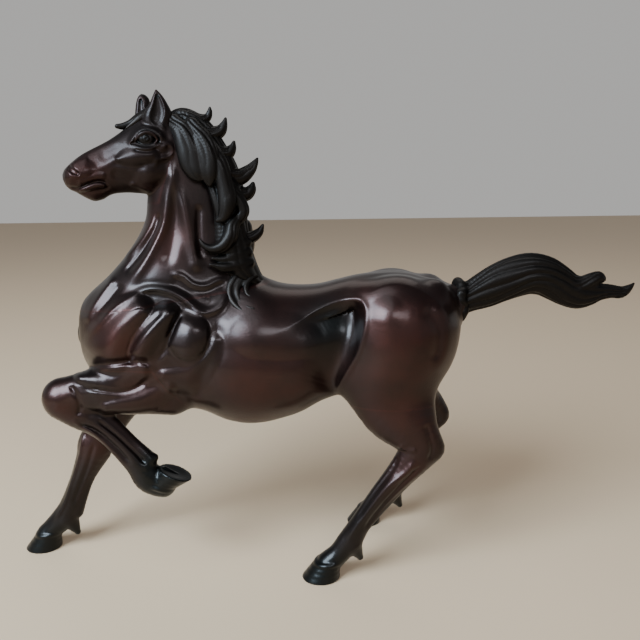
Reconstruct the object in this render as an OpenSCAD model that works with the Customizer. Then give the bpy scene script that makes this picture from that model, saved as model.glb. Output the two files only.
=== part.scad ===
// Cast bronze horse, about 38 cm long, standing on three hooves with its left
// foreleg lifted and folded, the head turned a little to its left, the mane in
// flying locks and the tail carried out behind in a wave.
// Millimetres. +Z up, the horse looks along -X, its left side is -Y.

/* [Castings] */
// Wall of the hollow body, neck and head castings
wall = 4.5; // [3.5:0.5:5.5]
// Depth of the sleeve at the neck joint
sleeve = 7; // [5:1:9]
// Solder gap left round every sleeve, dowel, pin and plug
gap = 0.12; // [0.1:0.02:0.2]

/* [Pins and plugs] */
// Diameter of the dowels between the legs and the body
dowel_d = 6; // [4:0.5:7]
// Length of the leg dowels
dowel_len = 20; // [14:1:24]
// Diameter of the rod between neck and head
head_dowel_d = 8; // [5:0.5:9]
// Length of the rod between neck and head
head_dowel_len = 26; // [18:1:28]
// Diameter of the pin that carries the tail
tail_pin_d = 6; // [4:0.5:7]
// Length of the tail pin
tail_pin_len = 26; // [20:1:30]
// Diameter of the plug in the core hole under the belly
belly_plug_d = 16; // [12:1:20]
// Diameter of the plugs in the core holes in the flanks
core_plug_d = 8; // [6:1:10]
// Diameter of the pins through the neck sleeve
joint_pin_d = 3; // [2:0.5:4]

/* [Hidden] */
eps = 0.02;

bronze = [0.23, 0.13, 0.10];
dark = [0.12, 0.12, 0.10];
metal = [0.62, 0.46, 0.28];

// Sets the middle of the overall size over the origin.
middle = [0.5, -3.9, 0];

// Cross-sections of the barrel, front to back: [x, z centre, half height, half width]
barrel = [[-138.5, 144, 10, 12], [-135, 144, 19, 20], [-128, 142, 28, 27], [-116, 138.5, 35, 32],
          [-100, 137, 39, 34.5], [-80, 137.2, 40.5, 35.5], [-60, 135.5, 42.5, 36.5],
          [-42, 133.3, 43.7, 37], [-25, 133.5, 41.5, 36], [-8, 135, 38, 33.5],
          [8, 139.3, 34.6, 31], [25, 143, 35.3, 33], [42, 144, 36.4, 34],
          [58, 143.5, 35.4, 32], [70, 143, 32, 27], [79, 148, 24, 18], [85, 158, 13, 10]];
// Cross-sections of the neck, bottom to top: [z, x centre, half length, half width]
neck = [[150, -84, 50, 30], [160, -83, 50.5, 29.5], [170, -80, 48, 27.5], [180, -77, 43, 25],
        [190, -74, 37, 22], [200, -71, 32.5, 19.5], [210, -69.5, 28.5, 17.5],
        [220, -68.5, 26.5, 16], [230, -68, 25, 15], [240, -69, 23.5, 14],
        [250, -71, 19.5, 13.5], [260, -73, 15, 12.5], [268, -75, 10, 10]];
// Cross-sections of the head from the poll to the lips, in the turned head's own frame
skull = [[2, 252, 17, 11], [-8, 249, 22, 15], [-16, 248, 22.4, 15.6], [-23, 246, 19.8, 15],
         [-30, 243.3, 16.5, 12.8], [-38, 240, 15, 11], [-46, 238, 13, 10],
         [-52, 237.5, 9.6, 9.6], [-56.5, 237, 5.6, 7.5], [-59, 237, 2, 3.5]];
// Limbs as strings of balls: [x, y, z, half length, half width]
left_fore = [[-92, -19, 112, 15, 13], [-118, -22, 115, 13.5, 12], [-136, -22.5, 114.5, 11.8, 11],
             [-147, -22.5, 111.8, 11.3, 10.6], [-140, -22.5, 103.5, 10.5, 9.4],
             [-123, -22, 93, 7.6, 7.2], [-112, -22, 80.5, 7.8, 6.8],
             [-102.5, -22, 66, 9.4, 7.4], [-94.5, -22, 58.5, 7.6, 6.8]];
right_fore = [[-118, 19, 112, 18, 13], [-128, 18.5, 97, 15, 12], [-137, 17, 80, 12, 10],
              [-143.5, 14, 64, 9.6, 8.6], [-151.5, 12, 47, 6.8, 6.6], [-159, 10, 30, 6.3, 6],
              [-164, 9.5, 20.5, 7.6, 6.8], [-172.5, 9.2, 12.5, 6.2, 6.2]];
left_hind = [[46, -18, 132, 30, 17], [50, -23, 106, 19, 12.5], [56, -26, 92, 14, 10],
             [62, -27.5, 82, 11, 8.6], [50, -28, 66, 8.5, 7.2], [40, -28.5, 53.5, 6.4, 5.8],
             [26.5, -29, 35.5, 5.2, 5], [19.5, -29.3, 22, 6.8, 6.2], [11, -29.7, 12.5, 5.6, 5.8]];
right_hind = [[46, 18, 132, 30, 17], [57, 24, 106, 19, 12.5], [66, 28, 93, 13.5, 10],
              [75, 30.5, 83, 10.5, 8.6], [69, 32, 68, 8.4, 7.2], [63.5, 33.5, 54, 6.2, 5.8],
              [55.5, 36, 35, 5.2, 5], [50, 37, 22, 6.8, 6.2], [42, 37.6, 12.5, 5.6, 5.8]];
// Tail, from the dock to the lower tip, and the short upper tuft
tail_line = [[80, 0, 161, 10, 9], [93, 0, 165, 9, 8], [102, 0, 168.5, 10.3, 8.6],
             [110, 0, 172.3, 11.3, 9], [119, 0, 176, 12, 9], [127.5, 0, 178, 12, 9],
             [136, 0, 176.5, 11.5, 8.6], [143.5, 0, 172.5, 10.5, 8], [150.5, 0, 168.2, 9.6, 7.6],
             [157, 0, 166, 8.9, 7.2], [163, 0, 166.6, 7.6, 6.4], [170, 0, 167.2, 4.8, 4.6],
             [178, 0, 166.6, 3.6, 3.4], [184.5, 0, 167, 2.7, 2.4], [189.6, 0, 170.8, 0.9, 0.9]];
tail_tuft = [[158, -1, 169, 6, 5], [165.5, -2, 174.3, 4.4, 4], [169.6, -2, 175.8, 2.6, 2.4]];
// Crest of the mane, its fall down the left side of the neck, and the locks that fly off it
crest = [[-72, 0, 270, 6.5, 6], [-63, -2, 263, 9.5, 7], [-57, -2, 252, 10.5, 8],
         [-51, -3, 238, 11, 9], [-48, -3, 222, 11, 10], [-47, -4, 206, 11, 12],
         [-44, -4, 192, 11, 15], [-36, -4, 181, 9, 14], [-27, -3, 174.5, 5, 10]];
fall = [[-69, -11, 258, 6, 5], [-62, -12.5, 242, 7.5, 5.5], [-56, -15, 226, 8.5, 5.5],
        [-55, -18, 210, 9, 5.5], [-55, -21, 195, 9.5, 5.5], [-50, -24, 181, 9, 5]];
locks = [[[-63, 0, 267, 3.6], [-58.5, 0, 268.5, 2.3], [-57, 0, 273.4, 0.8]],
         [[-57, 0, 261, 4.4], [-51.5, 0, 262.4, 2.9], [-48.3, 0, 267.2, 0.9]],
         [[-54, -1, 250.5, 4.6], [-47.5, -1, 250.2, 3.2], [-44.2, -1, 254.5, 0.9]],
         [[-47, -1, 236.5, 5], [-38.5, -1, 237.8, 3.6], [-31.4, -1, 245.2, 0.9]],
         [[-45, -1, 226, 4.8], [-37.5, -1, 227.8, 3.4], [-34.2, -1, 231.8, 1]],
         [[-41, -1, 202, 4.6], [-33.5, -1, 203.6, 2.9], [-29.2, -1, 208, 0.9]]];
shoulder_curl = [
    [-39, -15, 184, 3], [-43.4, -18.5, 181, 3.8], [-46.6, -22, 175.4, 4.4], [-45.4, -26, 170, 4.4],
    [-41.5, -29.5, 165.6, 3.8], [-36, -32.2, 162, 1.8]
];
forelock_line = [[-6, 0, 270, 4.6, 6], [-16, -1, 270.4, 4, 5], [-23.5, -1.5, 266, 2.8, 3.2],
                 [-28.2, -1.5, 265, 1, 1]];
head_joint = [-80, 0, 250];
head_turn = 18;
neck_cut = [-80, 0, 168];
neck_slope = -7.4;
foreleg_cut = [-92.3, 0, 133.2];
foreleg_slope = -33.7;

// One elliptical disc across the body.
module disc_x(s, inset) {
    translate([s[0], 0, s[1]]) rotate([0, 90, 0])
        scale([s[2] - inset, s[3] - inset, 1]) cylinder(h = eps, r = 1, $fn = 26);
}
// One level elliptical disc.
module disc_z(s, inset) {
    translate([s[1], 0, s[0]])
        scale([s[2] - inset, s[3] - inset, 1]) cylinder(h = eps, r = 1, $fn = 26);
}
module loft_x(list, inset = 0, first = 0, last = 0) {
    for (i = [first : len(list) - 2 - last])
        hull() { disc_x(list[i], inset); disc_x(list[i + 1], inset); }
}
module loft_z(list, inset = 0, last = 0) {
    for (i = [0 : len(list) - 2 - last])
        hull() { disc_z(list[i], inset); disc_z(list[i + 1], inset); }
}
module ball(p, fn = 14) {
    translate([p[0], p[1], p[2]])
        scale([p[3], len(p) > 4 ? p[4] : p[3], p[3]]) sphere(r = 1, $fn = fn);
}
module string(list, fn = 14) {
    for (i = [0 : len(list) - 2]) hull() { ball(list[i], fn); ball(list[i + 1], fn); }
}
// Hoof: a level sole, the wall leaning in to the coronet, and the heel.
module hoof(lean = -3) {
    hull() {
        cylinder(h = 1.5, r = 10.4, $fn = 32);
        translate([-lean, 0, 9]) cylinder(h = 1, r = 7, $fn = 24);
    }
    translate([-lean, 0, 9.5]) scale([7.6, 7.4, 2.6]) sphere(r = 1, $fn = 20);
}
// Ergot: the point behind a fetlock.
module ergot(p, q) {
    hull() { ball(concat(p, [4.4, 4.4]), 12); ball(concat(q, [1.3, 1.3]), 10); }
}

module head_frame() { translate(head_joint) rotate([0, 0, head_turn]) translate([0, 0, -250]) children(); }

module torso_form() {
    loft_x(barrel);
    for (s = [-1, 1]) {
        hull() { ball([48, s * 17, 146, 31, 20], 22); ball([47, s * 19, 128, 31, 18], 22); }
        hull() { ball([-92, s * 17, 150, 24, 19], 18); ball([-72, s * 19, 142, 26, 18], 18); }
        hull() { ball([-116, s * 15, 150, 19, 15], 18); ball([-118, s * 16, 134, 15, 12], 18); }
    }
}
module left_fore_form() {
    string(left_fore);
    translate([-82.6, -22, 64.6]) rotate([0, 23, 0]) rotate([180, 0, 0]) hoof(6.5);
    ergot([-100, -22, 71], [-95, -22, 74]);
}
module right_fore_form() {
    string(right_fore);
    translate([-179.8, 9, 0]) scale([1.1, 1, 1]) hoof(-4);
    ergot([-162, 9.5, 18], [-158.6, 9.5, 11]);
}
module left_hind_form() {
    string(left_hind);
    hull() { ball([64, -27.5, 86, 6.5, 6.4]); ball([68.6, -27.5, 78.5, 6, 5.6]); }
    translate([1.6, -30, 0]) scale([1.08, 1, 1]) hoof(-4);
    ergot([21.5, -29.3, 18], [25.4, -29.3, 12.3]);
}
module right_hind_form() {
    string(right_hind);
    hull() { ball([77.5, 30.5, 86, 6.5, 6.4]); ball([82.4, 30.5, 79, 6, 5.6]); }
    translate([32.8, 38, 0]) scale([1.08, 1, 1]) hoof(-4);
    ergot([52, 37, 18], [56.4, 37, 12.3]);
}
module trunk() {
    torso_form();
    loft_z(neck);
    left_fore_form();
    right_fore_form();
    left_hind_form();
    right_hind_form();
    head_form();
}
module head_form() {
    head_frame() {
        loft_x(skull);
        // ears
        hull() { ball([-4.5, -7.5, 266, 5.6, 4.6]); ball([-7.6, -6.6, 282.2, 0.9, 0.9], 12); }
        hull() { ball([-6.5, 7.5, 266, 5.6, 4.6]); ball([-13, 10.5, 281.6, 0.9, 0.9], 12); }
        // cheeks, brows and nostrils
        for (s = [-1, 1]) {
            ball([-9, s * 8.5, 240, 12, 7.5], 20);
            ball([-18, s * 11, 256.5, 6, 5], 16);
            ball([-51, s * 7.2, 241, 4.6, 3.8], 14);
        }
        ball([-45, 0, 228.5, 5.5, 6.5], 16);
    }
}

// Everything above the sawn joint between neck and body.
module above_neck_cut(shift = 0) {
    translate(neck_cut) rotate([0, neck_slope, 0]) translate([-75, -60, shift])
        cube([130, 120, 130]);
}
// Everything in front of the joint between head and neck.
module before_head_cut() {
    intersection() {
        translate([-82, 0, 246]) rotate([0, 0, head_turn]) rotate([0, 17, 0])
            translate([-110, -45, -60]) cube([110, 90, 120]);
        translate([-170, -60, 222]) cube([120, 100, 70]);
    }
}
// The corner of the chest that is cast with the lifted foreleg.
module left_fore_block() {
    intersection() {
        translate([-190, -60, 30]) cube([140, 55, 101]);
        translate(foreleg_cut) rotate([0, foreleg_slope, 0]) translate([-150, -60, -110])
            cube([150, 60, 180]);
    }
}
module right_fore_block() {
    translate([-200, 3, 80]) cube([110, 60, 24]);
    translate([-200, -4, -1]) cube([110, 67, 85]);
}
module left_hind_block() {
    translate([18, -60, 80]) cube([92, 59, 26]);
    translate([-20, -60, -1]) cube([130, 59, 86]);
}
module right_hind_block() {
    translate([18, 1, 80]) cube([92, 59, 26]);
    translate([0, 1, -1]) cube([110, 59, 86]);
}
module behind_tail_cut() { translate([84, -30, 140]) cube([120, 60, 60]); }

// Dowels: [position, direction as y rotation]
left_fore_dowel = [[-85, -21, 122.3], 56.3];
right_fore_dowel = [[-122, 19, 104], 0];
hind_dowels = [[[49, -22, 106], 0], [[56, 23, 106], 0]];
module dowel(d, len, spare = 0) {
    translate(d[0]) rotate([0, d[1], 0]) translate([0, 0, -len / 2 - spare])
        cylinder(h = len + 2 * spare, d = dowel_d + 2 * spare, $fn = 32);
}
module leg_dowels(spare = 0) {
    dowel(left_fore_dowel, dowel_len, spare);
    dowel(right_fore_dowel, dowel_len, spare);
    for (d = hind_dowels) dowel(d, dowel_len, spare);
}
module tail_rod(spare = 0) {
    translate([84, 0, 162.5]) rotate([0, 90 - 14, 0]) translate([0, 0, -tail_pin_len / 2 - spare])
        cylinder(h = tail_pin_len + 2 * spare, d = tail_pin_d + 2 * spare, $fn = 32);
}
// Pins through the sleeve joints: [position, rotation]
neck_pin_spots = [[[-80, -21, 163], [90, 0, 0], 9], [[-80, 21, 163], [-90, 0, 0], 9],
                  [[-125.5, 0, 158.5], [0, -90, 0], 6]];
module neck_pin_set(spare = 0) {
    for (p = neck_pin_spots) translate(p[0]) rotate(p[1]) translate([0, 0, -spare])
        cylinder(h = p[2] + 2 * spare, d = joint_pin_d + 2 * spare, $fn = 24);
}
module head_rod(spare = 0) {
    translate([-81, 1, 248]) rotate([0, 0, head_turn]) rotate([0, 107, 0])
        translate([0, 0, -head_dowel_len / 2 - spare])
            cylinder(h = head_dowel_len + 2 * spare, d = head_dowel_d + 2 * spare, $fn = 32);
}
// Core holes: belly, and one in each flank high up.
module belly_hole(spare = 0) {
    translate([-42, 0, 84]) cylinder(h = 14, d = belly_plug_d + 2 * spare, $fn = 48);
}
module flank_holes(spare = 0) {
    for (s = [-1, 1]) translate([-18, 0, 138]) rotate([-90 * s, 0, 0]) translate([0, 0, 27])
        cylinder(h = 14, d = core_plug_d + 2 * spare, $fn = 32);
}

module body_core() {
    difference() {
        union() {
            loft_x(barrel, wall, 2, 3);
            loft_z(neck, wall, 5);
        }
        ball([-78, -22, 127, 17, 17], 20);
        ball([-116, 20, 112, 22, 20], 20);
        ball([52, -22, 108, 22, 20], 20);
        ball([56, 23, 108, 22, 20], 20);
    }
}
module neck_sleeve_ring() {
    difference() {
        intersection() {
            union() {
                difference() { loft_z(neck, wall + gap); above_neck_cut(0); }
                intersection() { loft_z(neck, wall - 0.5); above_neck_cut(-0.01); }
            }
            above_neck_cut(-sleeve);
        }
        loft_z(neck, wall + 2.2);
        above_neck_cut(5);
    }
}

module torso_shell() color(bronze) {
    difference() {
        union() { trunk(); }
        body_core();
        above_neck_cut();
        left_fore_block();
        right_fore_block();
        left_hind_block();
        right_hind_block();
        behind_tail_cut();
        leg_dowels(gap);
        tail_rod(gap);
        belly_hole(gap);
        flank_holes(gap);
        neck_pin_set(gap);
    }
}
module neck_shell() color(bronze) {
    difference() {
        union() {
            difference() {
                intersection() { union() { trunk(); } above_neck_cut(); }
                body_core();
                before_head_cut();
            }
            neck_sleeve_ring();
        }
        neck_pin_set(gap);
        head_rod(gap);
    }
}
module head() color(bronze) {
    difference() {
        intersection() { union() { head_form(); loft_z(neck); } before_head_cut(); }
        head_rod(gap);
    }
}
module leg(block) color(bronze) {
    difference() {
        intersection() { union() { trunk(); } children(); }
        leg_dowels(gap);
    }
}
module left_foreleg() leg() left_fore_block();
module right_foreleg() leg() right_fore_block();
module left_hind_leg() leg() left_hind_block();
module right_hind_leg() leg() right_hind_block();
module tail() color(dark) {
    difference() {
        union() {
            intersection() {
                union() { string(tail_line); ball([86, 0, 162, 11, 11]); torso_form(); }
                behind_tail_cut();
            }
            string(tail_tuft, 14);
        }
        tail_rod(gap);
    }
}
module mane_crest() color(dark) {
    difference() {
        union() { string(crest); string(fall); }
        torso_form();
        loft_z(neck);
        head_form();
        mane_locks();
        shoulder_lock();
    }
}
module mane_locks() color(dark) for (l = locks) string(l, 12);
module shoulder_lock() color(dark) {
    difference() { union() { string(shoulder_curl, 14); } torso_form(); loft_z(neck); }
}
module forelock() color(dark) {
    difference() { head_frame() string(forelock_line, 14); head_form(); mane_crest(); }
}
module belly_plug() color(metal) {
    intersection() { belly_hole(); translate([-42, 0, 90]) cylinder(h = 5, d = 40, $fn = 48); }
}
module core_plugs() color(metal) {
    for (s = [-1, 1]) translate([-18, s * 34, 138]) rotate([90 * s, 0, 0])
        cylinder(h = 4, d = core_plug_d, $fn = 32);
}
module foreleg_dowels() color(metal) {
    dowel(left_fore_dowel, dowel_len);
    dowel(right_fore_dowel, dowel_len);
}
module hind_leg_dowels() color(metal) for (d = hind_dowels) dowel(d, dowel_len);
module neck_pins() color(metal) neck_pin_set();
module head_dowel() color(metal) head_rod();
module tail_pin() color(metal) tail_rod();

translate(middle) {
    torso_shell();
    neck_shell();
    head();
    left_foreleg();
    right_foreleg();
    left_hind_leg();
    right_hind_leg();
    tail();
    mane_crest();
    mane_locks();
    shoulder_lock();
    forelock();
    belly_plug();
    core_plugs();
    foreleg_dowels();
    hind_leg_dowels();
    neck_pins();
    head_dowel();
    tail_pin();
}
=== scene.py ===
import math
from concurrent.futures import ThreadPoolExecutor

import bpy
import numpy as np
import openvdb as vdb
from mathutils import Matrix, Vector


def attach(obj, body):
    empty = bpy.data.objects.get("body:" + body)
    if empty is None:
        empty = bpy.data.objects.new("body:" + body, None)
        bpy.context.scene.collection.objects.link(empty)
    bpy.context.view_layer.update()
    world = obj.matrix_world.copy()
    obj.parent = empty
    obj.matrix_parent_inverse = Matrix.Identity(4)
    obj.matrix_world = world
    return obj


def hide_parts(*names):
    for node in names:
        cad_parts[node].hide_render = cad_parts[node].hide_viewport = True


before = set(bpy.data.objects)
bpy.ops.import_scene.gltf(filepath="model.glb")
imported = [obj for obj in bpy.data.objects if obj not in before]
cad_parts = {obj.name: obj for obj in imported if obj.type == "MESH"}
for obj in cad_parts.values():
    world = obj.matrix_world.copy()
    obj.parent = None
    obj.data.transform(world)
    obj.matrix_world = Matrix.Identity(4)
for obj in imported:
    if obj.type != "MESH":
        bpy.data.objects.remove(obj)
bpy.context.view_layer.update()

# Shapes are worked out in millimetres: +Z up, the horse looks along -X, its left side is -Y.
# MIDDLE moves the middle of the box to the frame's origin.
MIDDLE = np.array([0.5, -3.9, 0.0])
# The side view's relief is drawn as an eye sees it from here: along the horse, aside and up
EYE_ALONG, EYE_ASIDE, EYE_UP = 3.5, 410.0, 240.0
TURN = math.radians(18)  # the head turns this far to its own left
LAP = 0.7  # how far each casting runs past the plane where it meets the next
HAIR_SINK = 0.6  # how far hair goes on under the skin
REACH = 1.6  # how far off the skin its hollows and edges are felt
BLOCK = 30000  # points worked out at a time


# ---------------------------------------------------------------- field tools
def smin(a, b, k):
    """The nearer of two forms, with a fillet of about k where they meet."""
    h = np.clip(0.5 + 0.5 * (b - a) / k, 0.0, 1.0)
    return b + (a - b) * h - k * h * (1.0 - h)


def smax(a, b, k):
    """What two forms share, with its edge rounded by about k."""
    return -smin(-a, -b, k)


def ramp(v, a, b):
    """0 below a, 1 above b, and smooth between them."""
    t = np.clip((v - a) / (b - a), 0.0, 1.0)
    return t * t * (3.0 - 2.0 * t)


def cubic(x, rows):
    """Smooth curve through rows of (x, value, value, ...). Returns one array per value."""
    t = np.asarray(rows, dtype=np.float32)
    xs = t[:, 0]
    h = np.diff(xs)
    i = np.clip(np.searchsorted(xs, x) - 1, 0, len(xs) - 2)
    u = np.clip((x - xs[i]) / h[i], 0.0, 1.0)
    out = []
    for c in range(1, t.shape[1]):
        y = t[:, c]
        s = np.diff(y) / h
        m = np.empty_like(y)
        m[0], m[-1] = s[0], s[-1]
        m[1:-1] = (s[:-1] * h[1:] + s[1:] * h[:-1]) / (h[:-1] + h[1:])
        out.append(
            (2 * u**3 - 3 * u**2 + 1) * y[i]
            + (u**3 - 2 * u**2 + u) * h[i] * m[i]
            + (-2 * u**3 + 3 * u**2) * y[i + 1]
            + (u**3 - u**2) * h[i] * m[i + 1]
        )
    return out


def rounded(rows, steps=4):
    """Catmull-Rom curve through the rows."""
    p = np.asarray(rows, dtype=np.float32)
    if len(p) < 3 or steps < 2:
        return p
    q = np.vstack([2 * p[0] - p[1], p, 2 * p[-1] - p[-2]])
    out = []
    for i in range(1, len(q) - 2):
        for t in np.linspace(0, 1, steps, endpoint=False):
            a, b, c, d = q[i - 1], q[i], q[i + 1], q[i + 2]
            out.append(
                0.5 * (2 * b + (c - a) * t + (2 * a - 5 * b + 4 * c - d) * t**2
                       + (3 * b - a - 3 * c + d) * t**3)
            )
    out.append(p[-1])
    out = np.array(out)
    if out.shape[1] > 3:
        out[:, 3:] = np.maximum(out[:, 3:], p[:, 3:].min() * 0.8)
    return out


def ball(P, centre, radii, turn=0.0):
    """Ellipsoid, turned about the sideways axis by that many degrees."""
    v = P - np.asarray(centre, np.float32)
    if turn:
        c, s = math.cos(math.radians(turn)), math.sin(math.radians(turn))
        v = np.stack([v[:, 0] * c - v[:, 2] * s, v[:, 1], v[:, 0] * s + v[:, 2] * c], 1)
    r = np.asarray(radii, np.float32)
    k0 = np.linalg.norm(v / r, axis=1)
    k1 = np.linalg.norm(v / (r * r), axis=1) + 1e-6
    return k0 * (k0 - 1.0) / k1


def tube(P, rows, steps=4, hair=None):
    """String of balls (x, y, z, radius, side radius) joined into a smooth tube.
    hair = (strands, depth, twist) cuts lengthwise grooves between round strands."""
    path = rounded([r if len(r) == 5 else (*r, r[3]) for r in rows], steps)
    best = np.full(len(P), 1e9, np.float32)
    along = np.zeros(len(P), np.float32)
    angle = np.zeros(len(P), np.float32)
    size = np.ones(len(P), np.float32)
    length = 0.0
    for a, b in zip(path[:-1], path[1:]):
        ab = b[:3] - a[:3]
        n = float(np.linalg.norm(ab)) + 1e-6
        t = np.clip(((P - a[:3]) @ ab) / (n * n), 0.0, 1.0)
        v = P - (a[:3] + t[:, None] * ab)
        r = a[3] + t * (b[3] - a[3])
        w = (a[4] + t * (b[4] - a[4])) / r
        q = np.sqrt(v[:, 0] ** 2 + v[:, 2] ** 2 + (v[:, 1] / w) ** 2) + 1e-6
        d = (q - r) * np.sqrt((v * v).sum(1) + 1e-9) / q
        closer = d < best
        best = np.where(closer, d, best)
        if hair:
            up = np.cross(ab / n, (0.0, 1.0, 0.0))
            up = up / (np.linalg.norm(up) + 1e-6)
            angle = np.where(closer, np.arctan2(v @ up, v[:, 1] / w), angle)
            along = np.where(closer, length + t * n, along)
            size = np.where(closer, r, size)
        length += n
    if hair:
        strands, depth, twist = hair
        wave = 0.5 * strands * angle + twist * along + 0.9 * np.sin(2.0 * angle + 0.11 * along)
        best = best - depth * (np.abs(np.cos(wave)) - 0.55) * ramp(size, 0.6, 3.5)
    return best


def flat_distance(x, z, points):
    """In side view: the distance to a rounded line, how far along it the nearest point is, from
    0 to 1, and the side it is passed on, negative to the right of travel.
    A third number in the points is a radius, and the distance is then told in radii."""
    p = rounded([(a[0], 0.0, a[1], *a[2:]) for a in points], 4)
    best = np.full(len(x), 1e9, np.float32)
    part = np.zeros(len(x), np.float32)
    side = np.ones(len(x), np.float32)
    for i, (a, b) in enumerate(zip(p[:-1], p[1:])):
        dx, dz = b[0] - a[0], b[2] - a[2]
        t = np.clip(((x - a[0]) * dx + (z - a[2]) * dz) / (dx * dx + dz * dz + 1e-9), 0, 1)
        px, pz = x - a[0] - t * dx, z - a[2] - t * dz
        d = np.hypot(px, pz)
        if len(a) > 3:
            d = d / (a[3] + t * (b[3] - a[3]))
        closer = d < best
        best = np.where(closer, d, best)
        part = np.where(closer, (i + t) / (len(p) - 1), part)
        side = np.where(closer, np.sign(dx * pz - dz * px), side)
    return best, part, side


def relief(x, z, marks):
    """Height of the modelling, seen from the side. pad: rounded muscle. dip: rounded hollow.
    line: raised or cut line. cove: edge with a hollow on the right of its line.
    A line or cove may state, after its width, the share of its length it takes to rise."""
    pads = np.zeros(len(x), np.float32)
    hollows = np.zeros(len(x), np.float32)
    lines = np.zeros(len(x), np.float32)
    for kind, height, *rest in marks:
        points = rest[-1]
        xs, zs = [a[0] for a in points], [a[1] for a in points]
        if kind == "cove":
            m = 4.5 * rest[0]
        else:
            m = 14.0 if kind == "line" else max(a[2] for a in points) + 1
        pick = (x > min(xs) - m) & (x < max(xs) + m) & (z > min(zs) - m) & (z < max(zs) + m)
        if not pick.any():
            continue
        d, part, side = flat_distance(x[pick], z[pick], points)
        rise = rest[1] if len(rest) > 2 else 0.15
        fade = ramp(part, 0.0, rise) * ramp(1.0 - part, 0.0, 0.15)
        if kind == "pad":
            pads[pick] = np.maximum(pads[pick], height * np.clip(1.0 - d * d, 0.0, 1.0) ** 1.6)
        elif kind == "dip":
            hollows[pick] = np.minimum(hollows[pick], -height * ramp(1.0 - d, 0.0, 0.8))
        elif kind == "cove":
            u = d / rest[0]
            lines[pick] -= np.where(side < 0, height * u * np.exp(0.5 - 0.5 * u * u), 0.0) * fade
        else:
            lines[pick] += height * np.exp(-((d / rest[0]) ** 2)) * fade
    return pads + hollows + lines


def add_relief(P, d, both, left=(), depth=-33.0):
    """Puts the side view's relief on a form: 'both' on each flank, 'left' on the left one only.
    depth is the sideways place it is drawn at, and it spreads out from there as the eye sees it."""
    x, y, z = P.T
    close = np.abs(d) < 12.0
    out = d.copy()
    for marks, sides in ((both, (-1, 1)), (left, (-1,))):
        for side in sides:
            pick = close & (y * side > 1.0)
            if not marks or not pick.any():
                continue
            k = (EYE_ASIDE + depth) / (EYE_ASIDE - np.abs(y[pick]))
            u, w = EYE_ALONG + (x[pick] - EYE_ALONG) * k, EYE_UP + (z[pick] - EYE_UP) * k
            out[pick] -= relief(u, w, marks) * ramp(y[pick] * side, 2.0, 11.0)
    return out


def near(P, lo, hi, field):
    """The field inside a box, and simply far away outside it."""
    d = np.full(len(P), 30.0, np.float32)
    pick = np.all((P > lo) & (P < hi), 1)
    if pick.any():
        d[pick] = field(P[pick])
    return d


# ---------------------------------------------------------------- the horse's measures
# Barrel: x, top, bottom, half width
BARREL = [
    (-139.5, 150, 140, 4), (-137, 160, 131, 10), (-132, 167, 122, 16.5), (-124, 172, 110, 24),
    (-112, 175, 103, 29.6), (-98, 176, 101.4, 32.6), (-82, 177, 101, 34.5), (-66, 177.5, 98, 35.4),
    (-52, 178, 91.8, 36.3), (-40, 178.3, 89.8, 36.8), (-30, 177.2, 90.8, 36.6), (-20, 173.9, 93.4, 35.6),
    (-8, 172.6, 97.2, 33.8), (3, 173.2, 102.8, 31.6), (14, 175.7, 106.5, 30.4), (25, 178.2, 108.5, 30.6),
    (36, 179.6, 110, 31), (46, 180.2, 111, 30.6), (58, 178.9, 112, 28), (67, 176.1, 115, 23.5),
    (76, 173.2, 122, 17), (83, 171.6, 138, 12.5), (89, 170.4, 152, 9.5),
]
# Neck: z, front x, back x, half width
NECK = [
    (148, -134, -40, 27), (158, -136, -34, 28.5), (166, -133.4, -29, 28.4), (174, -126, -30, 26.4),
    (182, -118.4, -34, 24), (191, -110, -38, 21.4), (200, -103.2, -41, 19.2), (207, -99, -43, 17.8),
    (214, -96.2, -44.5, 16.8), (222, -95, -46, 16), (230, -94, -48, 15.2), (240, -92, -52, 14.4),
    (250, -89, -57, 13.6), (258, -87, -62, 12), (263, -84, -66, 10), (268, -80, -71, 6),
]
# Head in its own frame: distance forward of the poll, top, bottom, half width
SKULL = [
    (-6, 262, 238, 9), (-2, 270, 231.5, 12.6), (4, 272.2, 228.6, 14.8), (10, 272, 227, 15.8),
    (15, 270.2, 226.3, 16), (20, 266.6, 226.8, 15.2), (27, 261.2, 227.4, 13.2), (34, 256.6, 226.8, 11.2),
    (39, 254, 224.6, 10.1), (43.5, 251.8, 223.8, 9.7), (48.5, 249.1, 226, 9.6), (53, 245.9, 228.9, 9.1),
    (56.5, 242.8, 230.9, 7.6), (58.4, 240.6, 233.4, 5), (59.3, 238.6, 236, 1.6),
]
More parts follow.
